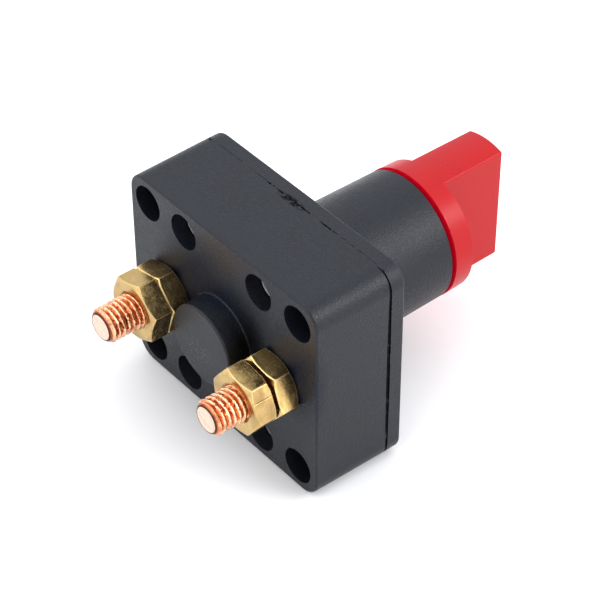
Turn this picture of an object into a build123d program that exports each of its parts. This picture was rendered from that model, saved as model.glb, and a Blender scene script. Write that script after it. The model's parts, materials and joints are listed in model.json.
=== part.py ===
from build123d import *
import os
from math import atan2, cos, degrees, radians, sin, sqrt, tan

# Rotary battery disconnect switch, millimetres.
# The knob's axis is Y. y = 0 is the front face that lies against a panel, the knob is
# towards -Y and the two terminal studs are towards +Y. Z is up as the switch lies on a table.

# Moulded block: rear housing and front cover
block_width = 60.8
block_height = 51.0
block_corner = 4.8
cover_plate = 3.8
housing_depth = 18.7
housing_inset = 0.28        # each side of the rear face lies this far inside the seam
edge_round = 0.5
seam_width = 0.35           # the cover steps back round its rear edge, which shows as a dark line
seam_depth = 0.7
wall_rear = 4.0

# Mounting holes at the corners, and case screws inboard of them in the same rows
hole_inset_x = 6.2          # from the block's short sides to the mounting holes' axes
hole_inset_z = 6.0
recess_radius = 4.05
mount_hole_radius = 2.75
mount_seat = 8.0            # y of the counterbore floor that takes a mounting screw's head
screw_head_depth = 3.4      # from the rear face down to the top of a case screw's head

# Round boss on the rear face, which holds the spindle's tail
boss_gap = 0.65             # from the boss to the corners of the nuts beside it
boss_height = 5.6
boss_end_wall = 2.4
boss_root_round = 0.4

# Neck that passes through the panel
neck_radius = 15.6
neck_end_radius = 15.25
neck_length = 27.5
neck_wall = 2.1             # at the neck's mouth
neck_root_round = 0.5
web_thickness = 3.0
bearing_wall = 2.6
bearing_reach = 2.5         # the spindle's bearing stands this far out of the neck's mouth

# Chamber
chamber_wall = 8.3          # from the chamber to the block's long sides
stop_rib_height = 3.4
stop_rib_depth = 5.0
stop_rib_angle = 9.0

# Terminal studs and nuts
stud_radius = 4.0
stud_pitch_radius = 3.6     # engaged thread, taken at its mean radius
stud_shank_radius = 4.4     # plain length inside the housing wall
stud_reach = 18.1
stud_end_chamfer = 0.65
stud_head = 11.0
stud_head_corner = 1.0
stud_head_thickness = 3.0
nut_across_flats = 13.5
nut_thickness = 5.0
nut_countersink = 0.9
nut_chamfer_share = 0.97    # face circle as a share of the width across flats
nut_chamfer_angle = 30.0
right_nut_gap = 0.9         # the right terminal nut stands off its base nut
left_base_turn = 48.4
left_terminal_turn = 45.2
right_base_turn = 9.0
right_terminal_turn = 6.5

# Contacts
tip_radius = 2.15
tip_thickness = 0.8
tip_edge = 2.3              # from a tip's centre to the end of the bridge
tip_offset = 3.35           # from a fixed tip's centre out to its stud's axis
bridge_width = 9.0
bridge_thickness = 2.5
bridge_gap = 0.5            # from the ends of the bridge to the chamber's wall
track_width = 4.4
track_half_angle = 52.0     # each rest track runs this far either side of vertical

# Rotor
shaft_radius = 5.0
tail_radius = 3.0
drum_gap = 0.8              # from the drum to the stop ribs
drum_web = 2.0
drum_lip = 0.5              # the drum stops this far short of the bridge's contact face
lug_height = 2.6
lug_depth = 3.8
lug_angle = 14.0
cam_flats = 12.0
cam_radius = 7.6
drive_square = 7.0
drive_length = 8.6
seal_groove_depth = 1.3
seal_groove_width = 1.7
seal_distance = 4.0         # from the neck's end back to the seal
washer_thickness = 0.8
washer_gap = 0.4            # round the cam's corners
washer_lap = 0.3            # beyond the drum

# Springs
spring_wire = 0.6           # radius of the contact spring's wire
spring_radius = 4.15        # mean coil radius
spring_turns = 2.5
leaf_thickness = 0.5
leaf_length = 20.4
leaf_width = 4.0
leaf_travel = 1.9           # room behind a leaf for the cam's corners
leaf_post = 2.0

# Knob
knob_gap = 1.2              # open groove between the neck's end and the skirt
collar_length = 2.0         # how far the knob's collar reaches into the neck's mouth
collar_wall = 1.6
skirt_radius = 15.3
skirt_front_radius = 15.15
skirt_length = 4.8
skirt_web = 2.1
knob_length = 21.9          # from the skirt's rear lip to the end of the grip
grip_thickness = 10.5
grip_end_thickness = 10.2
grip_end_radius = 15.0
grip_round = 0.5            # long edges of the grip
grip_end_round = 0.4
grip_wall = 2.2
grip_floor = 2.5
socket_boss = 12.4          # length of the solid middle of the grip round the spindle
screw_access_radius = 3.8
screw_seat_wall = 3.2

# Screws
case_screw_radius = 1.95
case_screw_head_radius = 3.6
case_screw_head = 2.4
case_screw_tip = 2.0        # y of the case screws' ends
case_boss_radius = 4.0
case_boss_height = 6.0
knob_screw_radius = 1.95
knob_screw_head_radius = 3.5
knob_screw_head = 2.4
knob_screw_length = 10.0
pan_round = 0.8
cross_width = 0.95
cross_length = 4.0
cross_depth = 1.3

# Clearances
running = 0.05              # radial, between turning and fixed round faces and on threads
loose = 0.3                 # between moulded pieces that pass each other
slide = 0.1                 # sides of a piece that slides in a slot
touch = 0.02                # between a leaf and the cam

# Places that follow
y_seam = cover_plate
y_rear = cover_plate + housing_depth
y_floor = y_rear - wall_rear
y_stud_end = y_rear + stud_reach
y_head = y_floor - stud_head_thickness
y_fixed_tip = y_head - tip_thickness
y_bridge = y_fixed_tip - tip_thickness
y_bridge_front = y_bridge - bridge_thickness
y_drum = y_seam + washer_thickness
y_drum_end = y_bridge - drum_lip
y_spring_seat = y_drum + drum_web
y_tail_end = y_rear + boss_height - boss_end_wall - loose
y_neck_end = -neck_length
y_knob = y_neck_end - knob_gap
y_collar = y_neck_end + collar_length
y_skirt_front = y_knob - skirt_length
y_knob_end = y_knob - knob_length
y_web = y_knob - (skirt_length - skirt_web)
y_bearing_end = y_neck_end - bearing_reach
y_leaf = y_seam - slide - leaf_width
y_pocket = y_leaf - slide
y_core = y_pocket - web_thickness
y_shaft_end = y_web
y_drive_end = y_shaft_end - drive_length
y_screw_seat = y_drive_end - loose - screw_seat_wall
y_case_head = y_rear - screw_head_depth
y_case_seat = y_case_head - case_screw_head
leaf_z = cam_flats / 2 + touch + leaf_thickness / 2
pocket_half_x = leaf_length / 2 + slide
pocket_half_z = leaf_z + leaf_thickness / 2 + leaf_travel
full_turn = 360.0
quarter_turn = 90.0
hole_pitch_x = block_width - 2 * hole_inset_x
hole_pitch_z = block_height - 2 * hole_inset_z
screw_pitch_x = hole_pitch_x / 2
chamber_radius = block_height / 2 - chamber_wall
bridge_end_radius = chamber_radius - bridge_gap
tip_circle = bridge_end_radius - tip_edge
stud_x = tip_circle + tip_offset
nut_corner_radius = nut_across_flats / 2 / cos(radians(full_turn / 12))
boss_radius = stud_x - nut_corner_radius - boss_gap
drum_radius = chamber_radius - stop_rib_height - drum_gap
washer_inner = cam_radius + washer_gap
washer_outer = drum_radius + washer_lap
mouth_radius = neck_end_radius - neck_wall
bearing_radius = shaft_radius + running + bearing_wall
collar_radius = mouth_radius - loose
collar_bore = collar_radius - collar_wall


def at(y):
    """Plane at this y. Its x is X and its y is Z, and a positive extrusion goes to -Y."""
    return Plane.XZ.offset(-y)


def sector(radius_in, radius_out, middle, span):
    """Ring sector on the current sketch plane, angles in degrees from +X towards +Z."""
    low, high = radians(middle - span / 2), radians(middle + span / 2)
    centre = radians(middle)
    with BuildLine() as outline:
        inner = ThreePointArc(
            (radius_in * cos(low), radius_in * sin(low)),
            (radius_in * cos(centre), radius_in * sin(centre)),
            (radius_in * cos(high), radius_in * sin(high)),
        )
        outer = ThreePointArc(
            (radius_out * cos(low), radius_out * sin(low)),
            (radius_out * cos(centre), radius_out * sin(centre)),
            (radius_out * cos(high), radius_out * sin(high)),
        )
        Line(inner @ 0, outer @ 0)
        Line(inner @ 1, outer @ 1)
    make_face(outline.edges())


def bore(radius, y_from, y_to, places=((0, 0),), mode=Mode.SUBTRACT):
    """Round bore or bar along Y between two depths, at each (x, z) place."""
    with BuildSketch(at(y_from)) as outline:
        with Locations(*places):
            Circle(radius)
    extrude(outline.sketch, amount=y_from - y_to, mode=mode)


corner_places = [(i * hole_pitch_x / 2, k * hole_pitch_z / 2) for i in (-1, 1) for k in (-1, 1)]
screw_places = [(i * screw_pitch_x / 2, k * hole_pitch_z / 2) for i in (-1, 1) for k in (-1, 1)]
stud_places = [(-stud_x, 0), (stud_x, 0)]

# Rear housing: drafted block with the contact chamber, stud pockets and the rear boss
with BuildPart() as rear_housing:
    rear_width = block_width - 2 * housing_inset
    rear_height = block_height - 2 * housing_inset
    with BuildSketch(at(y_rear)):
        RectangleRounded(rear_width, rear_height, block_corner - housing_inset)
    extrude(amount=housing_depth, taper=-degrees(atan2(housing_inset, housing_depth)))
    fillet(rear_housing.edges().group_by(Axis.Y)[-1], edge_round)
    bore(boss_radius, y_rear, y_rear + boss_height, mode=Mode.ADD)
    fillet(rear_housing.edges().group_by(Axis.Y)[-1], edge_round)
    boss_root = rear_housing.edges().filter_by(GeomType.CIRCLE)
    boss_root = boss_root.filter_by(lambda edge: abs(edge.radius - boss_radius) < touch)
    fillet(boss_root.filter_by_position(Axis.Y, y_rear - touch, y_rear + touch), boss_root_round)
    with BuildSketch(at(y_seam)):
        Circle(chamber_radius)
        with Locations(*stud_places):
            RectangleRounded(stud_head + loose, stud_head + loose, stud_head_corner + loose / 2)
    extrude(amount=-(y_floor - y_seam), mode=Mode.SUBTRACT)
    with BuildSketch(at(y_floor)):
        for middle in (quarter_turn, -quarter_turn):
            sector(
                tip_circle - track_width / 2,
                tip_circle + track_width / 2,
                middle,
                2 * track_half_angle,
            )
    extrude(amount=y_floor - y_fixed_tip)
    lug_sweep = lug_angle / 2 + quarter_turn / 2 + stop_rib_angle / 2
    with BuildSketch(at(y_seam + slide)):
        for side in (-1, 1):
            sector(
                chamber_radius - stop_rib_height,
                chamber_radius + loose,
                quarter_turn + side * (lug_sweep + touch),
                stop_rib_angle,
            )
    extrude(amount=-stop_rib_depth)
    bore(tail_radius + running, y_floor, y_tail_end + loose)
    bore(stud_shank_radius + slide, y_floor, y_rear, stud_places)
    bore(recess_radius, mount_seat, y_rear, corner_places)
    bore(mount_hole_radius, y_seam, mount_seat, corner_places)
    bore(recess_radius, y_case_seat, y_rear, screw_places)
    bore(case_screw_radius + loose, y_seam, y_case_seat, screw_places)
    bore(case_boss_radius + loose / 2, y_seam, y_seam + case_boss_height + loose, screw_places)
rear_housing.part.label = "rear_housing"

# Front cover: plate, neck, spindle bearing and the pocket for the detent leaves
with BuildPart() as front_cover:
    with BuildSketch(at(y_seam)):
        RectangleRounded(block_width, block_height, block_corner)
    extrude(amount=cover_plate)
    fillet(front_cover.edges().group_by(Axis.Y)[0], edge_round)
    with BuildSketch(at(y_seam)):
        RectangleRounded(block_width, block_height, block_corner)
        RectangleRounded(
            block_width - 2 * seam_depth,
            block_height - 2 * seam_depth,
            block_corner - seam_depth,
            mode=Mode.SUBTRACT,
        )
    extrude(amount=seam_width, mode=Mode.SUBTRACT)
    with BuildSketch(Plane.XY):
        with BuildLine():
            Polyline(
                (shaft_radius + running, y_seam),
                (neck_radius, y_seam),
                (neck_radius, 0),
                (neck_end_radius, y_neck_end),
                (mouth_radius, y_neck_end),
                (mouth_radius, y_core),
                (bearing_radius, y_core),
                (bearing_radius, y_bearing_end),
                (shaft_radius + running, y_bearing_end),
                close=True,
            )
        make_face()
    revolve(axis=Axis.Y)
    neck_root = front_cover.edges().filter_by(GeomType.CIRCLE)
    neck_root = neck_root.filter_by(lambda edge: abs(edge.radius - neck_radius) < touch)
    fillet(neck_root.filter_by_position(Axis.Y, -touch, touch), neck_root_round)
    bore(case_boss_radius, y_seam, y_seam + case_boss_height, screw_places, Mode.ADD)
    with BuildSketch(at(y_seam)):
        Rectangle(2 * pocket_half_x, 2 * pocket_half_z)
        post_z = pocket_half_z - leaf_travel / 2
        with GridLocations(2 * pocket_half_x - leaf_post, 2 * post_z, 2, 2):
            Rectangle(leaf_post, leaf_travel - touch, mode=Mode.SUBTRACT)
    extrude(amount=y_seam - y_pocket, mode=Mode.SUBTRACT)
    bore(shaft_radius + running, y_pocket, y_core)
    bore(mount_hole_radius, 0, y_seam, corner_places)
    bore(case_screw_radius + running, case_screw_tip - loose, y_seam + case_boss_height, screw_places)
front_cover.part.label = "front_cover"

# Spindle with the drum that turns the bridge, the square detent cam and the knob's drive
with BuildPart() as rotor:
    y_seal = y_neck_end + seal_distance
    groove_radius = shaft_radius - seal_groove_depth
    with BuildSketch(Plane.XY):
        with BuildLine():
            Polyline(
                (0, y_tail_end),
                (tail_radius, y_tail_end),
                (tail_radius, y_spring_seat),
                (spring_radius + spring_wire + loose, y_spring_seat),
                (spring_radius + spring_wire + loose, y_drum_end),
                (drum_radius, y_drum_end),
                (drum_radius, y_drum),
                (shaft_radius, y_drum),
                (shaft_radius, y_seal + seal_groove_width / 2),
                (groove_radius, y_seal + seal_groove_width / 2),
                (groove_radius, y_seal - seal_groove_width / 2),
                (shaft_radius, y_seal - seal_groove_width / 2),
                (shaft_radius, y_shaft_end),
                (0, y_shaft_end),
                close=True,
            )
        make_face()
    revolve(axis=Axis.Y)
    with BuildSketch(at(y_drum)):
        Circle(cam_radius)
        Rectangle(cam_flats, cam_flats, mode=Mode.INTERSECT)
    extrude(amount=y_drum - y_leaf)
    with BuildSketch(at(y_shaft_end)):
        Rectangle(drive_square, drive_square)
    extrude(amount=drive_length)
    chamfer(rotor.edges().group_by(Axis.Y)[0], edge_round)
    with BuildSketch(at(y_drum + slide)):
        sector(drum_radius - 1, drum_radius + lug_height, quarter_turn + quarter_turn / 2, lug_angle)
    extrude(amount=-lug_depth)
    with BuildSketch(at(y_drum_end)):
        Rectangle(bridge_width + 2 * slide, 2 * (drum_radius + slide))
        Circle(spring_radius, mode=Mode.SUBTRACT)
    extrude(amount=y_drum_end - (y_bridge_front - drum_lip), mode=Mode.SUBTRACT)
    bore(knob_screw_radius + running, y_drive_end, y_drive_end + knob_screw_length)
rotor.part.label = "rotor"

# Contact bridge: bar with round ends, standing upright while the switch is off
with BuildPart() as contact_bridge:
    with BuildSketch(at(y_bridge)):
        Circle(bridge_end_radius)
        Rectangle(bridge_width, 2 * bridge_end_radius, mode=Mode.INTERSECT)
        Circle(tail_radius + loose, mode=Mode.SUBTRACT)
    extrude(amount=bridge_thickness)
    fillet(contact_bridge.edges().filter_by(Axis.Y), edge_round)
contact_bridge.part.label = "contact_bridge"

# Contact spring round the spindle's tail, compressed between the drum and the bridge
with BuildPart() as contact_spring:
    spring_room = y_bridge_front - y_spring_seat - 2 * spring_wire
    coil_start = y_spring_seat + spring_wire
    with BuildLine() as coil:
        Helix(
            pitch=spring_room / spring_turns,
            height=spring_room,
            radius=spring_radius,
            center=(0, coil_start, 0),
            direction=(0, 1, 0),
        )
    with BuildSketch(Plane(origin=coil.line @ 0, z_dir=coil.line % 0)):
        Circle(spring_wire)
    sweep(is_frenet=True)
contact_spring.part.label = "contact_spring"

# Rubber ring in the spindle's groove
with BuildPart() as shaft_seal:
    ring_wire = (seal_groove_depth - running) / 2
    with BuildSketch(Plane.XY):
        with Locations((groove_radius + running / 2 + ring_wire, y_seal)):
            Circle(ring_wire)
    revolve(axis=Axis.Y)
shaft_seal.part.label = "shaft_seal"

# Thrust washer between the drum and the cover
with BuildPart() as thrust_washer:
    with BuildSketch(at(y_drum)):
        Circle(washer_outer)
        Circle(washer_inner, mode=Mode.SUBTRACT)
    extrude(amount=washer_thickness)
thrust_washer.part.label = "thrust_washer"

# Knob: collar in the neck's mouth, round skirt, and a bar grip across the full width
with BuildPart() as knob:
    with BuildSketch(Plane.XY):
        with BuildLine():
            Polyline(
                (0, y_collar),
                (collar_radius, y_collar),
                (collar_radius, y_knob),
                (skirt_radius, y_knob),
                (skirt_front_radius, y_skirt_front),
                (0, y_skirt_front),
                close=True,
            )
        make_face()
    revolve(axis=Axis.Y)
    with BuildSketch(at(y_skirt_front)) as grip_root:
        Circle(skirt_front_radius)
        Rectangle(grip_thickness, 2 * skirt_front_radius, mode=Mode.INTERSECT)
        fillet(grip_root.vertices(), grip_round)
    with BuildSketch(at(y_knob_end)) as grip_end:
        Circle(grip_end_radius)
        Rectangle(grip_end_thickness, 2 * skirt_front_radius, mode=Mode.INTERSECT)
        fillet(grip_end.vertices(), grip_round)
    loft()
    fillet(knob.edges().group_by(Axis.Y)[0], grip_end_round)
    bore(collar_bore, y_web, y_collar)
    pocket_width = grip_end_thickness - 2 * grip_wall
    pocket_length = sqrt(collar_bore**2 - (pocket_width / 2) ** 2) - socket_boss / 2
    with BuildSketch(at(y_web)):
        with GridLocations(0, socket_boss + pocket_length, 1, 2):
            Rectangle(pocket_width, pocket_length)
    extrude(amount=y_web - (y_knob_end + grip_floor), mode=Mode.SUBTRACT)
    with BuildSketch(at(y_web)):
        Rectangle(drive_square + 2 * slide, drive_square + 2 * slide)
    extrude(amount=drive_length + loose, mode=Mode.SUBTRACT)
    bore(knob_screw_radius + loose, y_screw_seat, y_web)
    bore(screw_access_radius, y_knob_end, y_screw_seat)
knob.part.label = "knob"


def pan_screw(x, z, y_seat, towards, shank_radius, shank, head_radius, head):
    """Pan-head screw with a cross recess. towards is +1 with the head facing +Y, or -1."""
    with BuildPart() as screw:
        with BuildSketch(Plane.XY):
            with BuildLine():
                rim = (head_radius, y_seat + towards * (head - pan_round))
                crown = (head_radius - pan_round, y_seat + towards * head)
                Line((0, y_seat), (head_radius, y_seat))
                Line((head_radius, y_seat), rim)
                TangentArc(rim, crown, tangent=(0, towards))
                Line(crown, (0, y_seat + towards * head))
                Line((0, y_seat + towards * head), (0, y_seat))
            make_face()
        revolve(axis=Axis.Y)
        bore(shank_radius, y_seat, y_seat - towards * shank, mode=Mode.ADD)
        with BuildSketch(at(y_seat + towards * head)):
            Rectangle(cross_length, cross_width)
            Rectangle(cross_width, cross_length)
        extrude(amount=towards * cross_depth, mode=Mode.SUBTRACT)
    return Pos(x, 0, z) * screw.part


def hex_nut(x, y_seat, turn):
    """Hexagon nut chamfered on both faces, with a countersunk bore. turn points a corner."""
    face_radius = nut_across_flats * nut_chamfer_share / 2
    cone_drop = (nut_corner_radius - face_radius) * tan(radians(nut_chamfer_angle))
    bore_radius = stud_pitch_radius + running
    with BuildPart() as nut:
        with BuildSketch(at(y_seat)):
            RegularPolygon(nut_corner_radius, 6, rotation=turn)
        extrude(amount=-nut_thickness)
        with BuildSketch(Plane.XY):
            with BuildLine():
                Polyline(
                    (bore_radius + nut_countersink, y_seat),
                    (face_radius, y_seat),
                    (nut_corner_radius, y_seat + cone_drop),
                    (nut_corner_radius, y_seat + nut_thickness - cone_drop),
                    (face_radius, y_seat + nut_thickness),
                    (bore_radius + nut_countersink, y_seat + nut_thickness),
                    (bore_radius, y_seat + nut_thickness - nut_countersink),
                    (bore_radius, y_seat + nut_countersink),
                    close=True,
                )
            make_face()
        revolve(axis=Axis.Y, mode=Mode.INTERSECT)
    return Pos(x, 0, 0) * nut.part


def stud(x, y_free):
    """Terminal stud: square head, plain shank, engaged thread up to y_free, free end."""
    with BuildPart() as terminal:
        with BuildSketch(at(y_head)):
            RectangleRounded(stud_head, stud_head, stud_head_corner)
        extrude(amount=-stud_head_thickness)
        bore(stud_shank_radius, y_floor, y_rear, mode=Mode.ADD)
        bore(stud_pitch_radius, y_rear, y_free, mode=Mode.ADD)
        bore(stud_radius, y_free, y_stud_end, mode=Mode.ADD)
        chamfer(terminal.edges().group_by(Axis.Y)[-1], stud_end_chamfer)
    return Pos(x, 0, 0) * terminal.part


def contact_tip(x, z, y_back):
    """Round contact tip whose face is one thickness nearer the knob than y_back."""
    with BuildPart() as tip:
        bore(tip_radius, y_back, y_back - tip_thickness, mode=Mode.ADD)
    return Pos(x, 0, z) * tip.part


def detent_leaf(side):
    """Flat detent spring that lies along one flat of the cam."""
    with BuildPart() as leaf:
        with BuildSketch(at(y_leaf)):
            Rectangle(leaf_length, leaf_thickness)
        extrude(amount=-leaf_width)
        fillet(leaf.edges().filter_by(Axis.Y), leaf_thickness / 3)
    return Pos(0, 0, side * leaf_z) * leaf.part


y_left_nut = y_rear + nut_thickness
y_right_nut = y_left_nut + right_nut_gap

pieces = [rear_housing.part, front_cover.part, rotor.part, contact_bridge.part]
pieces += [contact_spring.part, shaft_seal.part, thrust_washer.part, knob.part]


def add(solid, label):
    """Labels a finished piece and adds it to the list."""
    solid.label = label
    pieces.append(solid)


add(stud(stud_x, y_left_nut + nut_thickness), "left_stud")
add(stud(-stud_x, y_right_nut + nut_thickness), "right_stud")
add(hex_nut(stud_x, y_rear, left_base_turn), "left_base_nut")
add(hex_nut(-stud_x, y_rear, right_base_turn), "right_base_nut")
add(hex_nut(stud_x, y_left_nut, left_terminal_turn), "left_terminal_nut")
add(hex_nut(-stud_x, y_right_nut, right_terminal_turn), "right_terminal_nut")
add(contact_tip(tip_circle, 0, y_head), "left_fixed_tip")
add(contact_tip(-tip_circle, 0, y_head), "right_fixed_tip")
add(contact_tip(0, tip_circle, y_fixed_tip), "upper_moving_tip")
add(contact_tip(0, -tip_circle, y_fixed_tip), "lower_moving_tip")
add(detent_leaf(1), "upper_detent_leaf")
add(detent_leaf(-1), "lower_detent_leaf")
for number, (x, z) in enumerate(screw_places, 1):
    case_screw = pan_screw(
        x,
        z,
        y_case_seat,
        1,
        case_screw_radius,
        y_case_seat - case_screw_tip,
        case_screw_head_radius,
        case_screw_head,
    )
    add(case_screw, f"case_screw_{number}")
knob_screw = pan_screw(
    0,
    0,
    y_screw_seat,
    -1,
    knob_screw_radius,
    knob_screw_length,
    knob_screw_head_radius,
    knob_screw_head,
)
add(knob_screw, "knob_screw")

os.makedirs("parts", exist_ok=True)
for piece in pieces:
    export_step(piece, f"parts/{piece.label}.step")
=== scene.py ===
import bmesh
import bpy
import json
from math import copysign, cos, pi, radians, sin, sqrt, tan
from mathutils import Matrix, Vector, noise


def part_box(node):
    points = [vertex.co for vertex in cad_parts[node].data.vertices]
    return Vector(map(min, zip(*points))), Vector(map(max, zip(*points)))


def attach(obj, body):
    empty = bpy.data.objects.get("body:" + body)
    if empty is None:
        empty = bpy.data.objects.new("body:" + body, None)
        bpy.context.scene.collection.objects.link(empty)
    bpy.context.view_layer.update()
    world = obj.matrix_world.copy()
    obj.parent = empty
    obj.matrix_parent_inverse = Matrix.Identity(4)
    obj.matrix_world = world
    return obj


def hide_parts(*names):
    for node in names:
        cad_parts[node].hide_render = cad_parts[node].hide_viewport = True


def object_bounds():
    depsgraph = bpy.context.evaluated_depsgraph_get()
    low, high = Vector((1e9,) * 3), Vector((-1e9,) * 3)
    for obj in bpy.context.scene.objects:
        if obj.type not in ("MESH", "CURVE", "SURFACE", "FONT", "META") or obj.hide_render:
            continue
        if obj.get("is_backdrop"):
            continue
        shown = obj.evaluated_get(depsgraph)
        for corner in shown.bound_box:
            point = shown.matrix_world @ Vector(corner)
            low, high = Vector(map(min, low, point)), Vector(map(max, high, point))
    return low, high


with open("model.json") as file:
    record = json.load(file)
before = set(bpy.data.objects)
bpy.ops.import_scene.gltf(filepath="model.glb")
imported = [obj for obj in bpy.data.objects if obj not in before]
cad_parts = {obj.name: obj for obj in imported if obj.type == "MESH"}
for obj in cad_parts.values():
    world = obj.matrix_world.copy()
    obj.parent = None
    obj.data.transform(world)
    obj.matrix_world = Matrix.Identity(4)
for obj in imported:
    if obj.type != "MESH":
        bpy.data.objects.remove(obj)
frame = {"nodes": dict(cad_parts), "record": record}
cadBox = [list(corner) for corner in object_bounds()]
nodes = frame["nodes"]
mm = 0.001
print("frame loaded:", len(nodes), "nodes")


def setInputs(tree, node, values):
    # another node's output is linked, a plain value is set on the socket
    for name, value in values.items():
        if isinstance(value, bpy.types.NodeSocket):
            tree.links.new(value, node.inputs[name])
        else:
            node.inputs[name].default_value = value


def addNode(tree, kind, inputs, **settings):
    node = tree.nodes.new(kind)
    for name, value in settings.items():
        setattr(node, name, value)
    setInputs(tree, node, inputs)
    return node


def startMaterial(name):
    material = bpy.data.materials.new(name)
    material.use_nodes = True
    tree = material.node_tree
    shader = tree.nodes["Principled BSDF"]
    place = addNode(tree, "ShaderNodeTexCoord", {}).outputs["Object"]
    return material, tree, shader, place


def noiseAt(tree, place, size, detail=3.0, rough=0.55, distortion=0.0):
    # size is the grain in millimetres
    return addNode(tree, "ShaderNodeTexNoise", {
        "Vector": place, "Scale": 1.0 / (size * mm), "Detail": detail,
        "Roughness": rough, "Distortion": distortion}).outputs["Fac"]


def cellsAt(tree, place, spacing):
    # scattered points, about spacing apart in millimetres
    return addNode(tree, "ShaderNodeTexVoronoi", {
        "Vector": place, "Scale": 1.0 / (spacing * mm), "Randomness": 1.0})


def remap(tree, value, low, high, newLow, newHigh):
    return addNode(tree, "ShaderNodeMapRange", {
        "Value": value, "From Min": low, "From Max": high,
        "To Min": newLow, "To Max": newHigh}).outputs["Result"]


def ramp(tree, value, start, full, most=1.0):
    # 0 at start, most at full
    return remap(tree, value, start, full, 0.0, most)


def rampAlong(tree, distance, start, full):
    # 0 at start, 1 at full; places in millimetres
    return ramp(tree, distance, start * mm, full * mm)


def mathNode(tree, operation, *values):
    return addNode(tree, "ShaderNodeMath", dict(enumerate(values)), operation=operation).outputs[0]


def plus(tree, first, second):
    return mathNode(tree, "ADD", first, second)


def minus(tree, first, second):
    return mathNode(tree, "SUBTRACT", first, second)


def times(tree, first, second):
    return mathNode(tree, "MULTIPLY", first, second)


def larger(tree, first, second):
    return mathNode(tree, "MAXIMUM", first, second)


def vectorNode(tree, operation, output, *values):
    inputs = dict(enumerate(values))
    return addNode(tree, "ShaderNodeVectorMath", inputs, operation=operation).outputs[output]


def mixColour(tree, factor, first, second):
    inputs = {0: factor, 6: first, 7: second}  # the colour sockets of a mix node
    return addNode(tree, "ShaderNodeMix", inputs, data_type="RGBA").outputs[2]


def bumpFrom(tree, height, strength, depth, under=None):
    # depth is the height of the relief in millimetres
    inputs = {"Height": height, "Strength": strength, "Distance": depth * mm}
    if under:
        inputs["Normal"] = under
    return addNode(tree, "ShaderNodeBump", inputs).outputs["Normal"]


def rgb(red, green, blue):
    return (red, green, blue, 1.0)


def stretched(tree, place, scale):
    return addNode(tree, "ShaderNodeMapping", {"Vector": place, "Scale": scale}).outputs[0]


def nearSpot(tree, place, centre, reach, solid=0.55):
    # 1 in the solid share of an ellipsoid, fading to 0 at its edge; places in millimetres
    shifted = vectorNode(tree, "SUBTRACT", 0, place, Vector(centre) * mm)
    shares = Vector([1.0 / (side * mm) for side in reach])
    away = vectorNode(tree, "LENGTH", "Value", vectorNode(tree, "MULTIPLY", 0, shifted, shares))
    return remap(tree, away, solid, 1.0, 1.0, 0.0)


def fromAxes(tree, place, aside, upward=0.0):
    # distance from the nearest of the axes along Y at plus and minus aside and upward, and the y
    parts = addNode(tree, "ShaderNodeSeparateXYZ", {"Vector": place}).outputs
    across = minus(tree, mathNode(tree, "ABSOLUTE", parts[0]), aside * mm)
    rise = minus(tree, mathNode(tree, "ABSOLUTE", parts[2]), upward * mm)
    both = addNode(tree, "ShaderNodeCombineXYZ", {"X": across, "Y": rise}).outputs[0]
    return vectorNode(tree, "LENGTH", "Value", both), parts[1]


# In the dictionaries of finishes: a pattern is its size in millimetres, detail, roughness and
# distortion. A band is where a pattern starts to show, where it is full, and how much it gives.
# A spot is its centre, its reach and the share of it that is solid. A relief is strength, depth.

mouldedBlack = {
    "body": rgb(0.0045, 0.0058, 0.0088),
    "worn": rgb(0.0165, 0.0200, 0.0290),
    "roughness": (0.33, 0.45),
    "shine": 0.5,
    "coarse": (9.0, 4.0, 0.6),
    "coarseWear": (0.35, 0.70, 0.45),
    "coarseGloss": (0.30, 0.75),
    "grain": (0.42, 2.0, 0.6),
    "grainWear": (0.40, 0.72, 0.75),
    "grainGloss": (0.54, 0.70, -0.13),
    "grainRelief": (1.0, 0.115),
    "speckTone": rgb(0.60, 0.60, 0.60),
    "speckSpacing": 4.2,
    "speckEdge": (0.040, 0.024),   # shares of the spacing
    "speckChosen": (0.86, 0.87),   # about one place in seven has a speck
    "gritTone": rgb(0.20, 0.21, 0.23),
    "gritSpacing": 0.80,
    "gritEdge": (0.20, 0.13),
    "gritSpots": (                 # fine dust round the boss and on it
        ((6.5, 22.5, 7.5), (7.0, 3.0, 7.0), 0.1),
        ((-8.5, 22.5, 7.5), (4.0, 3.0, 4.5), 0.1),
        ((2.0, 28.1, -2.0), (9.0, 2.0, 6.0), 0.1),
    ),
    "tornTone": rgb(0.001, 0.001, 0.0014),
    "tear": (1.0, 5.0, 0.75, 0.6),
    "tearBand": (0.475, 0.515, 0.85),
    "tearSpot": ((0.2, 3.85, 25.4), (4.8, 1.25, 0.9)),  # at the seam on the long side
    "ragged": (2.2, 3.0, 0.6),
    "raggedBand": (0.34, 0.44),
    "raggedSpot": ((-30.4, 3.85, 0.0), (1.5, 0.50, 27.0), 0.8),  # along the short side's seam
    "tornRoughness": 0.35,
    "tornShine": 0.40,
    "tornRelief": (0.9, 0.20),
    # painted grey-blue sheen, lighter than the body, on the duller patches
    "paintedSheenTone": rgb(0.0100, 0.0160, 0.0330),
    "dullSheenSpots": (                 # duller plastic with less shine by the nuts and the boss, its colour lifted by a painted grey-blue sheen
        ((7.0, 22.5, 12.0), (15.0, 4.0, 13.0), 0.0),
        ((-24.5, 22.5, 6.0), (10.0, 4.0, 14.0), 0.0),
    ),
    "paintedSheenShare": 0.8,
    "dullRoughness": 0.06,
    "dullShine": (0.0, 0.8, 0.33),
    # painted shade: near-black colour with less shine, in the screw recesses and between the boss and
    # the right nut
    "paintedShadeTone": rgb(0.0008, 0.0010, 0.0016),
    "paintedShadeSpot": ((-9.0, 24.0, 5.0), (6.5, 4.0, 8.0), 0.2),  # painted shade between the boss and the right nut
    "recessAt": (12.1, 19.5),      # painted shade inside the screw recesses
    "recessEdge": (3.88, 3.85),
    "recessFrom": (14.0, 15.0),
    "paintedShadeShine": 0.25,
}


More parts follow.
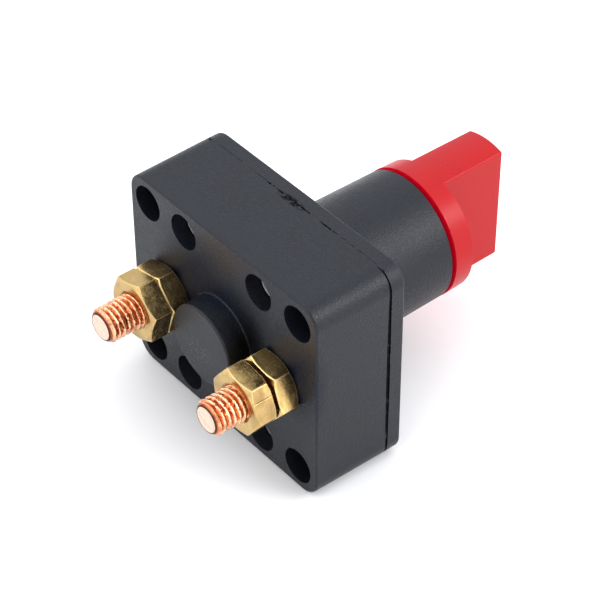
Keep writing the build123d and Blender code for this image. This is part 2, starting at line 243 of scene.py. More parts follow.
def tornPlastic(tree, place, look):
    torn = ramp(tree, noiseAt(tree, place, *look["tear"]), *look["tearBand"])
    torn = times(tree, torn, nearSpot(tree, place, *look["tearSpot"]))
    ragged = ramp(tree, noiseAt(tree, place, *look["ragged"]), *look["raggedBand"])
    ragged = times(tree, ragged, nearSpot(tree, place, *look["raggedSpot"]))
    return larger(tree, torn, ragged)


# the mask of the painted shade in the screw recesses and between the boss and the right nut
def paintedShadeMask(tree, place, look):
    away, along = fromAxes(tree, place, *look["recessAt"])
    recessShade = times(tree, rampAlong(tree, away, *look["recessEdge"]),
                     rampAlong(tree, along, *look["recessFrom"]))
    return larger(tree, recessShade, nearSpot(tree, place, *look["paintedShadeSpot"]))


def dustOver(tree, place, tone, look):
    specks = cellsAt(tree, place, look["speckSpacing"]).outputs
    chosen = addNode(tree, "ShaderNodeSeparateColor", {"Color": specks["Color"]}).outputs[0]
    speck = times(tree, ramp(tree, specks["Distance"], *look["speckEdge"]),
                  ramp(tree, chosen, *look["speckChosen"]))
    tone = mixColour(tree, speck, tone, look["speckTone"])
    grit = cellsAt(tree, place, look["gritSpacing"]).outputs["Distance"]
    grit = ramp(tree, grit, *look["gritEdge"])
    for spot in look["gritSpots"]:
        here = times(tree, grit, nearSpot(tree, place, *spot))
        tone = mixColour(tree, here, tone, look["gritTone"])
    return tone


def makeMouldedBlack(look):
    material, tree, shader, place = startMaterial("mouldedBlack")
    coarse = noiseAt(tree, place, *look["coarse"])
    grain = noiseAt(tree, place, *look["grain"])
    torn = tornPlastic(tree, place, look)
    paintedShade = paintedShadeMask(tree, place, look)
    dullAndSheen = 0.0
    for spot in look["dullSheenSpots"]:
        dullAndSheen = larger(tree, nearSpot(tree, place, *spot), dullAndSheen)
    tone = mixColour(tree, ramp(tree, coarse, *look["coarseWear"]), look["body"], look["worn"])
    tone = mixColour(tree, ramp(tree, grain, *look["grainWear"]), tone, look["worn"])
    tone = dustOver(tree, place, tone, look)
    tone = mixColour(tree, torn, tone, look["tornTone"])
    # painted grey-blue sheen where the plastic is duller
    tone = mixColour(tree, times(tree, dullAndSheen, look["paintedSheenShare"]), tone, look["paintedSheenTone"])
    # painted shade over the screw recesses and between the boss and the right nut
    tone = mixColour(tree, paintedShade, tone, look["paintedShadeTone"])
    gloss = remap(tree, coarse, *look["coarseGloss"], *look["roughness"])
    gloss = plus(tree, gloss, times(tree, torn, look["tornRoughness"]))
    gloss = plus(tree, gloss, times(tree, dullAndSheen, look["dullRoughness"]))
    gloss = plus(tree, gloss, ramp(tree, grain, *look["grainGloss"]))
    shine = minus(tree, look["shine"], ramp(tree, dullAndSheen, *look["dullShine"]))
    shine = minus(tree, shine, times(tree, torn, look["tornShine"]))
    shine = minus(tree, shine, times(tree, paintedShade, look["paintedShadeShine"]))
    relief = bumpFrom(tree, grain, *look["grainRelief"])
    relief = bumpFrom(tree, minus(tree, 1.0, torn), *look["tornRelief"], relief)
    setInputs(tree, shader, {
        "Base Color": tone, "Roughness": gloss, "Specular IOR Level": shine, "Normal": relief})
    return material


mouldedRed = {
    "body": rgb(0.410, 0.0040, 0.0065),
    "light": rgb(0.435, 0.0060, 0.0085),
    # the colour of the painted glow on the collar and the skirt's rear face
    "rim": rgb(0.80, 0.004, 0.034),
    "paintedGlowFrom": (-28.72, -28.70),  # the collar and the skirt's rear face are painted brighter and given a faint glow, standing for light let through
    "paintedGlowStrength": 0.07,
    "shine": 0.38,
    "roughness": (0.24, 0.37),
    "coarse": (7.0, 1.0, 0.5),
    "fine": (0.35, 2.0, 0.6),
    "fineRelief": (0.25, 0.02),
    "glow": 0.30,                 # light that the red plastic lets in, and how deep
    "glowDepth": 1.2,
    "glowColours": (1.0, 0.12, 0.10),
}


def makeMouldedRed(look):
    material, tree, shader, place = startMaterial("mouldedRed")
    coarse = noiseAt(tree, place, *look["coarse"])
    fine = noiseAt(tree, place, *look["fine"])
    along = addNode(tree, "ShaderNodeSeparateXYZ", {"Vector": place}).outputs[1]
    inPaintedGlow = rampAlong(tree, along, *look["paintedGlowFrom"])
    tone = mixColour(tree, coarse, look["body"], look["light"])
    # painted glow: brighter colour and faint emission on the collar and the skirt's rear face
    setInputs(tree, shader, {
        "Base Color": mixColour(tree, inPaintedGlow, tone, look["rim"]),
        "Emission Color": look["rim"],
        "Emission Strength": times(tree, inPaintedGlow, look["paintedGlowStrength"]),
        "Roughness": remap(tree, coarse, 0.0, 1.0, *look["roughness"]),
        "Specular IOR Level": look["shine"],
        "Normal": bumpFrom(tree, fine, *look["fineRelief"]),
        "Subsurface Weight": look["glow"],
        "Subsurface Radius": look["glowColours"],
        "Subsurface Scale": look["glowDepth"] * mm})
    return material


copperLook = {
    "flank": rgb(0.90, 0.45, 0.26),
    "crest": rgb(0.97, 0.65, 0.45),
    "groove": rgb(0.30, 0.075, 0.035),
    "dark": rgb(0.50, 0.185, 0.065),
    "roughness": (0.14, 0.26),
    "blotch": (0.95, 4.0, 0.6, 0.5),
    "blotchBand": (0.45, 0.75, 0.5),
    "patch": (2.2, 3.0, 0.6, 0.8),
    "patchBand": (0.46, 0.60, 0.65),
    "fine": (0.25, 3.0, 0.65),
    "fineBand": (0.62, 0.82, 0.4),
    "fineGloss": (0.3, 0.7),
    "fineRelief": (0.25, 0.02),
    "dents": (1.2, 1.0, 0.5, 0.4),
    "dentRelief": (1.0, 0.40),
    "axisAside": 17.75,
    "rubbedFrom": (3.72, 3.98),   # radii of the crests and of the grooves
    "sunkFrom": (3.52, 3.38),
    "sunkShare": 0.9,
    "cutEnd": rgb(0.82, 0.65, 0.56),
    "cutEndBand": (0.3, 0.7, 0.5),
    "cutEndFrom": (40.36, 40.40),
    "cutEndRoughness": 0.20,
    "paintedEndShade": rgb(0.11, 0.045, 0.030),  # painted shade: a dark ring round the edge of the cut end
    "paintedEndShadeFrom": (2.93, 2.83),
    "gapShade": rgb(0.48, 0.20, 0.095),
    "gapFrom": (31.9, 31.6),      # between the nuts the thread is dull and dark
}


def makeCopper(look):
    material, tree, shader, place = startMaterial("brightCopper")
    radius, along = fromAxes(tree, place, look["axisAside"])
    blotch = noiseAt(tree, place, *look["blotch"])
    patch = noiseAt(tree, place, *look["patch"])
    fine = noiseAt(tree, place, *look["fine"])
    rubbed = rampAlong(tree, radius, *look["rubbedFrom"])
    sunk = times(tree, rampAlong(tree, radius, *look["sunkFrom"]), look["sunkShare"])
    tone = mixColour(tree, ramp(tree, blotch, *look["blotchBand"]), look["flank"], look["crest"])
    tone = mixColour(tree, rubbed, tone, look["crest"])
    tone = mixColour(tree, sunk, tone, look["groove"])
    tone = mixColour(tree, ramp(tree, fine, *look["fineBand"]), tone, look["groove"])
    tone = mixColour(tree, ramp(tree, patch, *look["patchBand"]), tone, look["dark"])
    atEnd = rampAlong(tree, along, *look["cutEndFrom"])
    # painted shade in a ring round the edge of the cut end
    inEndShade = rampAlong(tree, radius, *look["paintedEndShadeFrom"])
    cutEnd = mixColour(tree, ramp(tree, blotch, *look["cutEndBand"]), look["cutEnd"], look["crest"])
    tone = mixColour(tree, atEnd, tone, mixColour(tree, inEndShade, look["paintedEndShade"], cutEnd))
    tone = mixColour(tree, rampAlong(tree, along, *look["gapFrom"]), tone, look["gapShade"])
    gloss = remap(tree, fine, *look["fineGloss"], *look["roughness"])
    gloss = plus(tree, gloss, times(tree, atEnd, look["cutEndRoughness"]))
    relief = bumpFrom(tree, fine, *look["fineRelief"])
    relief = bumpFrom(tree, noiseAt(tree, place, *look["dents"]), *look["dentRelief"], relief)
    setInputs(tree, shader, {
        "Base Color": tone, "Roughness": gloss, "Normal": relief, "Metallic": 1.0})
    return material


brassLook = {
    "body": rgb(0.80, 0.57, 0.235),
    "bright": rgb(0.93, 0.73, 0.36),
    "stain": rgb(0.36, 0.245, 0.115),
    "smear": rgb(0.62, 0.54, 0.40),
    # dark brown for soil, and for painted shade on the nuts' sides towards the plastic and between the
    # nuts
    "soilAndShade": rgb(0.16, 0.095, 0.048),
    "roughness": (0.17, 0.30),
    "smudge": (4.6, 2.0, 0.5, 0.5),
    "smudgeBand": (0.44, 0.64, 0.70),
    "blotch": (2.4, 3.0, 0.55, 0.3),
    "blotchBand": (0.50, 0.70, 0.45),
    "blotchGloss": (0.3, 0.7),
    "blotchRelief": (0.25, 0.10),
    "fine": (0.30, 3.0, 0.65),
    "fineRelief": (0.20, 0.012),
    "wiped": (0.55, 4.0, 0.6, 0.5),
    "wipedStretch": (0.8, 1.0, 0.18),
    "wipedBand": (0.54, 0.72, 0.50),
    "wipedGloss": (0.4, 0.7, -0.03, 0.08),
    "drawn": (0.22, 3.0, 0.6),      # draw lines of the bar
    "drawnStretch": (1.0, 0.10, 1.0),
    "drawnBand": (0.60, 0.80, 0.30),
    "drawnRelief": (0.30, 0.02),
    "rubbedGloss": (0.3, 1.0, 0.28),
    # the right terminal nut: a tool mark along one flat, and its darker side
    "markSpot": ((-23.55, 30.9, 3.59), (0.16, 3.6, 0.16)),
    "markBand": (0.35, 0.5, 0.4, 0.9),
    "markRelief": (0.8, 0.05),
    "sideSpot": ((-24.2, 31.0, 0.8), (2.2, 4.2, 6.0)),
    "sideBand": (0.3, 0.6, 0.75, 0.45),
}


def makeBrass(look):
    material, tree, shader, place = startMaterial("drawnBrass")
    smudge = noiseAt(tree, place, *look["smudge"])
    blotch = noiseAt(tree, place, *look["blotch"])
    fine = noiseAt(tree, place, *look["fine"])
    wiped = noiseAt(tree, stretched(tree, place, look["wipedStretch"]), *look["wiped"])
    drawn = noiseAt(tree, stretched(tree, place, look["drawnStretch"]), *look["drawn"])
    rubbed, soilAndShadeShare = (addNode(tree, "ShaderNodeAttribute", {}, attribute_name=name).outputs["Fac"]
                      for name in ("rubbed", "soilAndShadeShare"))
    mark = nearSpot(tree, place, *look["markSpot"])
    side = nearSpot(tree, place, *look["sideSpot"])
    tone = mixColour(tree, ramp(tree, smudge, *look["smudgeBand"]), look["body"], look["stain"])
    tone = mixColour(tree, ramp(tree, blotch, *look["blotchBand"]), tone, look["bright"])
    tone = mixColour(tree, ramp(tree, wiped, *look["wipedBand"]), tone, look["smear"])
    tone = mixColour(tree, ramp(tree, drawn, *look["drawnBand"]), tone, look["stain"])
    tone = mixColour(tree, rubbed, tone, look["bright"])
    # soil, and painted shade on the nuts' sides towards the plastic and between the nuts
    tone = mixColour(tree, soilAndShadeShare, tone, look["soilAndShade"])
    sideStain = times(tree, side, remap(tree, blotch, *look["sideBand"]))
    tone = mixColour(tree, sideStain, tone, look["stain"])
    markSoil = times(tree, mark, remap(tree, fine, *look["markBand"]))
    tone = mixColour(tree, markSoil, tone, look["soilAndShade"])
    gloss = remap(tree, blotch, *look["blotchGloss"], *look["roughness"])
    gloss = plus(tree, gloss, remap(tree, wiped, *look["wipedGloss"]))
    gloss = plus(tree, gloss, ramp(tree, rubbed, *look["rubbedGloss"]))
    relief = bumpFrom(tree, drawn, *look["drawnRelief"])
    relief = bumpFrom(tree, blotch, *look["blotchRelief"], relief)
    relief = bumpFrom(tree, fine, *look["fineRelief"], relief)
    relief = bumpFrom(tree, minus(tree, 1.0, mark), *look["markRelief"], relief)
    setInputs(tree, shader, {
        "Base Color": tone, "Roughness": gloss, "Normal": relief, "Metallic": 1.0})
    return material


plainLook = {
    "coarse": (4.0, 3.0),
    "fine": (0.5, 2.0),
    "band": (0.3, 0.7),
    "fineRelief": (0.3, 0.02),
}
# small and hidden pieces: name, two tones, roughness, how metallic
plainFinishes = {
    "screw_steel": (
        "zincSteel", rgb(0.80, 0.80, 0.82), rgb(0.66, 0.67, 0.69), (0.08, 0.18), 1.0),
    "spring_steel": (
        "springSteel", rgb(0.55, 0.55, 0.57), rgb(0.45, 0.45, 0.48), (0.20, 0.35), 1.0),
    "tip_silver": (
        "contactSilver", rgb(0.86, 0.85, 0.82), rgb(0.78, 0.76, 0.72), (0.25, 0.40), 1.0),
    "rotor_plastic": (
        "naturalNylon", rgb(0.66, 0.63, 0.54), rgb(0.60, 0.57, 0.48), (0.40, 0.55), 0.0),
    "seal_rubber": (
        "sealRubber", rgb(0.016, 0.016, 0.017), rgb(0.03, 0.03, 0.03), (0.60, 0.80), 0.0),
}


def makePlain(name, body, tint, roughness, metallic, look):
    material, tree, shader, place = startMaterial(name)
    coarse = noiseAt(tree, place, *look["coarse"])
    fine = noiseAt(tree, place, *look["fine"])
    setInputs(tree, shader, {
        "Base Color": mixColour(tree, ramp(tree, coarse, *look["band"]), body, tint),
        "Roughness": remap(tree, fine, *look["band"], *roughness),
        "Normal": bumpFrom(tree, fine, *look["fineRelief"]),
        "Metallic": metallic})
    return material


finishes = {
    "housing_plastic": makeMouldedBlack(mouldedBlack),
    "knob_plastic": makeMouldedRed(mouldedRed),
    "copper": makeCopper(copperLook),
    "nut_brass": makeBrass(brassLook),
}
for slotName, values in plainFinishes.items():
    finishes[slotName] = makePlain(*values, plainLook)
slotOf = {part["node"]: part["material_slot"] for part in frame["record"]["subparts"]}
for name, node in nodes.items():
    node.data.materials.clear()
    node.data.materials.append(finishes[slotOf[name]])
print("finishes made:", len(finishes))


weldDistance = 0.002  # points closer than this become one, in millimetres


def finishPiece(name, bm, body, slotName, sharpAngle):
    bmesh.ops.remove_doubles(bm, verts=bm.verts, dist=weldDistance * mm)
    bmesh.ops.recalc_face_normals(bm, faces=bm.faces)
    for face in bm.faces:
        face.smooth = True
    for edge in bm.edges:
        if len(edge.link_faces) == 2 and edge.calc_face_angle(0.0) > radians(sharpAngle):
            edge.smooth = False
    mesh = bpy.data.meshes.new(name)
    bm.to_mesh(mesh)
    bm.free()
    mesh.materials.append(finishes[slotName])
    piece = bpy.data.objects.new(name, mesh)
    bpy.context.scene.collection.objects.link(piece)
    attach(piece, body)
    return piece


def addPoint(bm, x, y, z):
    return bm.verts.new((x * mm, y * mm, z * mm))


def pointAround(bm, centre, radius, angle, y):
    # centre is the x and z of an axis along Y
    return addPoint(bm, centre[0] + radius * cos(angle), y, centre[1] + radius * sin(angle))


def ringAround(bm, centre, radius, y, count):
    return [pointAround(bm, centre, radius, 2 * pi * i / count, y) for i in range(count)]


def joinSections(bm, here, there):
    # faces between two closed sections with the same number of points
    for k in range(len(here)):
        after = (k + 1) % len(here)
        bm.faces.new((here[k], there[k], there[after], here[after]))


def addSolid(bm, sections):
    # sections joined one after another, with both ends closed
    for here, there in zip(sections, sections[1:]):
        joinSections(bm, here, there)
    bm.faces.new(sections[0])
    bm.faces.new(sections[-1])


threadedStud = {
    "startTurn": {"left_stud": 40.0, "right_stud": 150.0},  # where the thread starts, in degrees
    "pitch": 1.25,
    "outer": 4.0,
    "root": 3.34,
    "perTurn": 72,
    "spareTurns": 3,       # the thread runs on past both ends and is cut there
    # one side of the thread's form: place along the pitch, share of the depth
    "sideProfile": (
        (0.07, 1.0), (0.14, 0.97), (0.20, 0.86), (0.28, 0.60), (0.36, 0.32), (0.42, 0.12),
        (0.46, 0.02)),
    "overlap": 0.3,        # how far the thread reaches into the plain part
    "threadWeld": 0.0005,
    "cutWeld": 0.0001,
    "endRadius": 3.05,
    "endSlope": 0.95,
    "head": 11.0,
    "headThick": 3.0,
    "headCorner": 1.0,
    "cornerSteps": 4,
    "plainRadius": 4.4,
    "plainLength": 4.0,
    "plainSides": 64,
    "sharpAngle": 40.0,
}


def addThread(bm, centre, startTurn, wall, end, look):
    steps, pitch, depth = look["perTurn"], look["pitch"], look["outer"] - look["root"]
    profile = [(-0.5, 0.0)]
    profile += [(-along, height) for along, height in reversed(look["sideProfile"])]
    profile += look["sideProfile"]
    turns = int((end - wall) / pitch) + look["spareTurns"]
    rings = []
    for step in range(turns * steps + 1):
        angle = radians(startTurn) - 2 * pi * step / steps  # right-hand thread
        ring = []
        for along, height in profile:
            y = wall - pitch + pitch * (step / steps + along)
            chamfer = look["endRadius"] + look["endSlope"] * max(0.0, end - y)
            ring.append(pointAround(bm, centre, min(look["root"] + depth * height, chamfer), angle, y))
        rings.append(ring)
    for step in range(turns * steps):
        here, there = rings[step], rings[step + 1]
        for k in range(len(profile) - 1):
            bm.faces.new((here[k], there[k], there[k + 1], here[k + 1]))
        if step + steps + 1 < len(rings):  # the last row meets the first one of the next turn
            bm.faces.new((here[-1], there[-1], rings[step + steps + 1][0], rings[step + steps][0]))
    bmesh.ops.remove_doubles(bm, verts=bm.verts, dist=look["threadWeld"] * mm)
    for y, outward in ((end, 1), (wall - look["overlap"], -1)):
        cut = bmesh.ops.bisect_plane(
            bm, geom=bm.verts[:] + bm.edges[:] + bm.faces[:], dist=look["cutWeld"] * mm,
            plane_co=(0, y * mm, 0), plane_no=(0, outward, 0), clear_outer=True)
        rim = [item for item in cut["geom_cut"] if isinstance(item, bmesh.types.BMEdge)]
        bmesh.ops.holes_fill(bm, edges=rim, sides=0)


def addHead(bm, centre, start, look):
    # a square head with rounded corners
    inset, steps = look["head"] / 2 - look["headCorner"], look["cornerSteps"]
    layers = []
    for y in (start, start + look["headThick"]):
        layer = []
        for quarter in range(4):
            middle = radians(45 + 90 * quarter)
            corner = (centre[0] + copysign(inset, cos(middle)), copysign(inset, sin(middle)))
            for k in range(steps + 1):
                angle = middle + radians(-45 + 90 / steps * k)
                layer.append(pointAround(bm, corner, look["headCorner"], angle, y))
        layers.append(layer)
    addSolid(bm, layers)


def buildStud(name, node, startTurn, look):
    low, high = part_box(node)
    centre = ((low.x + high.x) / 2 / mm, 0.0)
    start, end = low.y / mm, high.y / mm
    headTop = start + look["headThick"]
    wall = headTop + look["plainLength"]
    bm = bmesh.new()
    addThread(bm, centre, startTurn, wall, end, look)
    addSolid(bm, [ringAround(bm, centre, look["plainRadius"], y, look["plainSides"])
                  for y in (headTop, wall)])
    addHead(bm, centre, start, look)
    piece = finishPiece(name, bm, "case", "copper", look["sharpAngle"])
    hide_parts(node)


for node, startTurn in threadedStud["startTurn"].items():
    buildStud(node.split("_")[0] + "ThreadedStud", node, startTurn, threadedStud)
print("studs threaded")


hexNut = {
    "flats": 13.5,
    "slope": 30.0,         # of the faces' turned edge, in degrees
    "bore": 3.65,
    "sink": 0.9,
    "cornerRound": 0.34,
    "rimRound": 0.10,
    "rimLand": 0.06,
    "faceStep": 0.02,
    "around": 288,
    "rubWidth": 0.26,      # how wide the rubbed, brighter edges are
    "rub": (0.0, 0.1, 0.25, 0.2, 0.4, 0.9, 0.9, 0.0),  # of half a section, from the bore to the flat
    "cornerRub": 0.9,
    "cornerRubFrom": 5,    # the point of half a section from which the corners are rubbed too
    "sharpAngle": 24.0,
}
# turn in degrees, width of the outer and the inner face as shares of the flats, bevel of the
# outer edge, and how much soil and painted shade darken the outer face, the flats' outer and inner end
# and the inner face
nutSet = {
    "left_base_nut": {
        "turn": 48.4, "faces": (1.05, 0.97), "bevel": 0.19, "soilAndShade": (0.0, 0.10, 0.75, 0.9)},
    "left_terminal_nut": {
        "turn": 45.2, "faces": (0.97, 1.09), "bevel": 0.10, "soilAndShade": (0.36, 0.30, 0.30, 0.3)},
    "right_base_nut": {
        "turn": 9.0, "faces": (1.02, 0.97), "bevel": 0.17, "soilAndShade": (0.35, 0.0, 0.55, 0.9)},
    "right_terminal_nut": {
        "turn": 6.5, "faces": (0.97, 1.03), "bevel": 0.10, "soilAndShade": (0.28, 0.22, 0.20, 0.35)},
}


def fromHexCorner(angle):
    # signed angle from the nearest corner; the corners are at multiples of 60 degrees
    return (angle + pi / 6) % (pi / 3) - pi / 6


def hexRadius(angle, half, cornerRound):
    # distance to a hexagon with rounded corners
    local = fromHexCorner(angle)
    straight = half / cos(pi / 6 - abs(local))
    middle = (half - cornerRound) / cos(pi / 6)  # centre of the corner's arc
    aside = middle * sin(local)
    if abs(aside) > cornerRound * sin(pi / 6):
        return straight
    return min(straight, middle * cos(local) + sqrt(cornerRound ** 2 - aside ** 2))


def nutSide(outer, share, bevel, look):
    # half a section from the bore to the flat: radius and depth below the face
    rim, mouth = look["rimRound"], look["bore"] + look["sink"]
    face, edge = look["flats"] / 2 * share, outer - bevel
    slope = tan(radians(look["slope"]))
    section = [(look["bore"], look["sink"]), (mouth - rim, rim), (mouth + look["rimLand"], 0.0),
               (min(face, edge) - look["faceStep"], 0.0)]
    for radius in (edge, outer - bevel / 2, outer):
        depth = max(0.0, radius - face) * slope + radius - edge
        section.append((radius, depth))
    section.append((outer, depth + look["rubWidth"]))
    return section


def buildNut(name, node, own, look):
    low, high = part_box(node)
    centre = ((low.x + high.x) / 2 / mm, 0.0)
    base, thick = low.y / mm, (high.y - low.y) / mm
    outerFace, innerFace = own["faces"]
    bm = bmesh.new()
    rubbed = bm.verts.layers.float.new("rubbed")
    soilAndShadeShare = bm.verts.layers.float.new("soilAndShadeShare")
    columns = []
    for i in range(look["around"]):
        local = 2 * pi * i / look["around"]
        outer = hexRadius(local, look["flats"] / 2, look["cornerRound"])
        fromCorner = abs(fromHexCorner(local)) * outer
        cornerRub = max(0.0, 1.0 - fromCorner / look["rubWidth"]) * look["cornerRub"]
        outerSide = nutSide(outer, outerFace, own["bevel"], look)
        innerSide = nutSide(outer, innerFace, look["rimRound"], look)
        section = [(radius, thick - depth) for radius, depth in outerSide] + innerSide[::-1]
        perZone = len(section) // len(own["soilAndShade"])
        column = []
        for k, (radius, y) in enumerate(section):
            vert = pointAround(bm, centre, radius, local + radians(own["turn"]), base + y)
            fromBore = min(k, len(section) - 1 - k)
            onFlat = fromBore >= look["cornerRubFrom"]
            vert[rubbed] = max(look["rub"][fromBore], cornerRub if onFlat else 0.0)
            vert[soilAndShadeShare] = own["soilAndShade"][k // perZone]
            column.append(vert)
        columns.append(column)
    for here, there in zip(columns, columns[1:] + columns[:1]):
        joinSections(bm, here, there)
    piece = finishPiece(name, bm, "case", "nut_brass", look["sharpAngle"])
    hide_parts(node)


for node, own in nutSet.items():
    side, kind = node.split("_")[:2]
    buildNut(side + kind.title() + "Nut", node, own, hexNut)
print("nuts made")


caseScrew = {
    "headRadius": 3.6,
    "headHeight": 2.4,
    "edgeRound": 0.20,
    "edgeSteps": 6,
    "edgeTurn": 120.0,     # how far the raised edge is rounded over, in degrees
    "hollow": 0.5,         # the pressed head is this much lower in the middle
    "hollowRadius": 2.45,
    "shank": 1.95,
    "tipChamfer": 0.5,
    "crossLength": 4.0,
    "crossWidth": 0.95,
    "crossDepth": 1.3,
    "crossTaper": 0.8,     # size of the cross's floor as a share of its mouth
    "around": 96,
    "sharpAngle": 30.0,
}


def screwSection(tip, top, look):
    # from the tip to the hollow in the head: radius and y
    shank, chamfer = look["shank"], look["tipChamfer"]
    rounding, radius = look["edgeRound"], look["headRadius"]
    seat = top - look["headHeight"]
    section = [(shank - chamfer, tip), (shank, tip + chamfer), (shank, seat), (radius, seat)]
    for k in range(look["edgeSteps"] + 1):
        turn = radians(look["edgeTurn"] / look["edgeSteps"] * k)
        section.append((radius - rounding + rounding * cos(turn), top - rounding + rounding * sin(turn)))
    section.append((look["hollowRadius"], top - look["hollow"]))
    return section


def addCross(bm, centre, top, look):
    half, wide = look["crossLength"] / 2, look["crossWidth"] / 2
    outline = (
        (wide, wide), (wide, half), (-wide, half), (-wide, wide), (-half, wide), (-half, -wide),
        (-wide, -wide), (-wide, -half), (wide, -half), (wide, -wide), (half, -wide), (half, wide))
    mouth, floor = (
        [addPoint(bm, centre[0] + x * share, y, centre[1] + z * share) for x, z in outline]
        for share, y in ((1.0, top), (look["crossTaper"], top - look["crossDepth"])))
    joinSections(bm, mouth, floor)
    bm.faces.new(floor)


def buildCaseScrew(name, node, look):
    low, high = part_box(node)
    centre = ((low.x + high.x) / 2 / mm, (low.z + high.z) / 2 / mm)
    top = high.y / mm
    bm = bmesh.new()
    rings = [ringAround(bm, centre, radius, y, look["around"])
             for radius, y in screwSection(low.y / mm, top, look)]
    for lower, upper in zip(rings, rings[1:]):
        joinSections(bm, lower, upper)
    bm.faces.new(rings[0])
    addCross(bm, centre, top - look["hollow"], look)
    openEdges = [edge for edge in bm.edges if edge.is_boundary]
    bmesh.ops.triangle_fill(bm, use_beauty=True, edges=openEdges, normal=(0, 1, 0))
    piece = finishPiece(name, bm, "case", "screw_steel", look["sharpAngle"])
    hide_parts(node)


for node in sorted(nodes):
    if node.startswith("case_screw_"):
        buildCaseScrew("caseScrew" + node[-1], node, caseScrew)
print("case screws made")


seamFlash = {
    "inset": 2.9,          # how far from the block's ends it stops
    "groove": (3.44, 3.81),
    "foot": 0.65,          # how far below the block's face it starts
    "least": 0.004,        # depth of its crest below the block's face
    "most": 0.30,
    "shoulders": (1.3, 1.5),  # depth of its two edges, as shares of the crest's
    "tight": (-13.0, 8.0),  # outside these places the groove is nearly closed
    "tightShare": 0.22,
    "waves": ((1.6, 0.7, 1.0), (1.6 / 3.1, 3.3, 0.5)),  # length, row of the noise, strength
    "waveBase": 0.35,
    "waveGain": 1.3,
    "sway": 0.05,
    "stepLength": 0.12,
    "sharpAngle": 50.0,
}


def buildSeamFlash(look):
    # thin flash that half closes the parting groove along the upper long side
    left, right = cadBox[0][0] / mm + look["inset"], cadBox[1][0] / mm - look["inset"]
    top = cadBox[1][2] / mm
    near, far = look["groove"]
    bm = bmesh.new()
    count = int((right - left) / look["stepLength"])
    rows = []
    for i in range(count + 1):
        x = left + (right - left) * i / count
        wave = sum(strength * noise.noise(Vector((x / length, row, 0.0)))
                   for length, row, strength in look["waves"])
        fill = min(1.0, max(0.0, look["waveBase"] + look["waveGain"] * wave))
        if not look["tight"][0] <= x <= look["tight"][1]:
            fill *= look["tightShare"]
        depth = look["least"] + (look["most"] - look["least"]) * fill
        section = (
            (near, look["foot"]), (near, depth * look["shoulders"][0]),
            ((near + far) / 2 + look["sway"] * wave, depth),
            (far, depth * look["shoulders"][1]), (far, look["foot"]))
        rows.append([addPoint(bm, x, y, top - below) for y, below in section])
    addSolid(bm, rows)
    finishPiece("seamFlash", bm, "case", "housing_plastic", look["sharpAngle"])


buildSeamFlash(seamFlash)
print("seam flash made")


studio = {
    "floor": rgb(0.87, 0.86, 0.85),
    "floorTint": rgb(0.86, 0.85, 0.84),
    "floorPattern": (60.0, 2.0),
    "floorBand": (0.3, 0.7),
    "floorRoughness": 0.9,
    "floorShine": 0.2,
    "floorGlow": 0.04,
    "floorSize": 6.0,      # in metres
    "floorParts": 8,
    "floorGap": 0.02,      # keeps the floor clear of the block's underside
    "skyTint": rgb(0.965, 0.985, 1.03),
    "sky": 0.45,
    # bright walls of the tent: direction and strength
    "walls": (
        ((0.58, -0.48, 0.66), 0.75),
        ((-0.90, -0.40, 0.10), 1.54),
        ((0.0, 0.0, 1.0), 0.70),
        ((0.30, 0.90, 0.30), 1.24),
    ),
    "wallEdge": 0.3,       # cosine of the angle where a wall's glow ends
    "keySize": 0.5,
    "keyPower": 2.95,
    "keyPlace": (-0.66, -0.47, 0.58),
    "gamma": 0.85,         # the photo's own contrast
}


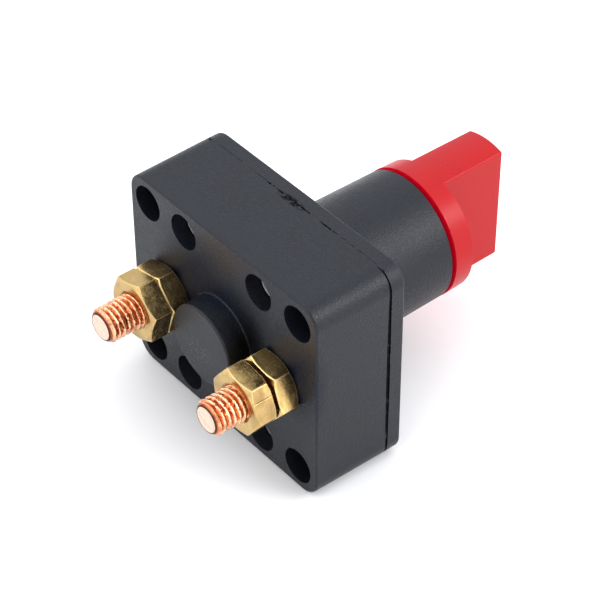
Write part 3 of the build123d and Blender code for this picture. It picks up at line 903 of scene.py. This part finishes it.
def buildFloor(look):
    low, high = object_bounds()
    bm = bmesh.new()
    bmesh.ops.create_grid(
        bm, x_segments=look["floorParts"], y_segments=look["floorParts"], size=look["floorSize"] / 2)
    bmesh.ops.translate(bm, verts=bm.verts, vec=(0, 0, low.z - look["floorGap"] * mm))
    mesh = bpy.data.meshes.new("studioFloor")
    bm.to_mesh(mesh)
    bm.free()
    floor = bpy.data.objects.new("studioFloor", mesh)
    bpy.context.scene.collection.objects.link(floor)
    material, tree, shader, place = startMaterial("paleFloor")
    shade = ramp(tree, noiseAt(tree, place, *look["floorPattern"]), *look["floorBand"])
    setInputs(tree, shader, {
        "Base Color": mixColour(tree, shade, look["floor"], look["floorTint"]),
        "Roughness": look["floorRoughness"],
        "Specular IOR Level": look["floorShine"],
        "Emission Color": rgb(1.0, 1.0, 1.0),
        "Emission Strength": look["floorGlow"]})
    mesh.materials.append(material)
    floor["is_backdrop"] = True


def addSoftbox(name, place, size, power):
    lamp = bpy.data.lights.new(name, "AREA")
    lamp.shape = "DISK"
    lamp.size = size
    lamp.energy = power
    holder = bpy.data.objects.new(name, lamp)
    holder.location = place
    holder.rotation_euler = (-Vector(place)).to_track_quat("-Z", "Y").to_euler()
    bpy.context.scene.collection.objects.link(holder)


def buildWorld(look):
    world = bpy.data.worlds.new("softStudio")
    bpy.context.scene.world = world
    world.use_nodes = True
    tree = world.node_tree
    ray = addNode(tree, "ShaderNodeTexCoord", {}).outputs["Generated"]
    total = look["sky"]
    for direction, strength in look["walls"]:
        facing = vectorNode(tree, "DOT_PRODUCT", "Value", ray, Vector(direction).normalized())
        total = plus(tree, total, ramp(tree, facing, look["wallEdge"], 1.0, strength))
    setInputs(tree, tree.nodes["Background"], {"Color": look["skyTint"], "Strength": total})


buildFloor(studio)
buildWorld(studio)
addSoftbox("keySoftbox", studio["keyPlace"], studio["keySize"], studio["keyPower"])

photoCamera = {
    "azimuth": 230.56,
    "elevation": 41.37,
    "roll": -0.20,
    "aside": 15.92,        # the camera's place in its own directions, from a point on the axis
    "upward": 7.04,
    "distance": 479.13,
    "axisShift": 22.5,
    "lens": 139.74,
    "sensor": 36.0,
    "clip": (0.01, 20.0),  # in metres
}


def buildCamera(look):
    turn, rise, roll = (radians(look[key]) for key in ("azimuth", "elevation", "roll"))
    back = Vector((sin(turn) * cos(rise), -cos(turn) * cos(rise), sin(rise)))
    across = Vector((cos(turn), sin(turn), 0.0))
    up = back.cross(across)
    right = across * cos(roll) + up * sin(roll)
    up = up * cos(roll) - across * sin(roll)
    place = right * look["aside"] + up * look["upward"] + back * look["distance"]
    place = (place + Vector((0, look["axisShift"], 0))) * mm
    turned = Matrix((right, up, back)).transposed().to_4x4()
    lens = bpy.data.cameras.new("photoCamera")
    lens.lens = look["lens"]
    lens.sensor_width = look["sensor"]
    lens.clip_start, lens.clip_end = look["clip"]
    camera = bpy.data.objects.new("photoCamera", lens)
    camera.matrix_world = Matrix.Translation(place) @ turned
    bpy.context.scene.collection.objects.link(camera)
    bpy.context.scene.camera = camera


buildCamera(photoCamera)
bpy.context.scene.view_settings.view_transform = "Standard"
bpy.context.scene.view_settings.gamma = studio["gamma"]
print("floor, light and camera set")
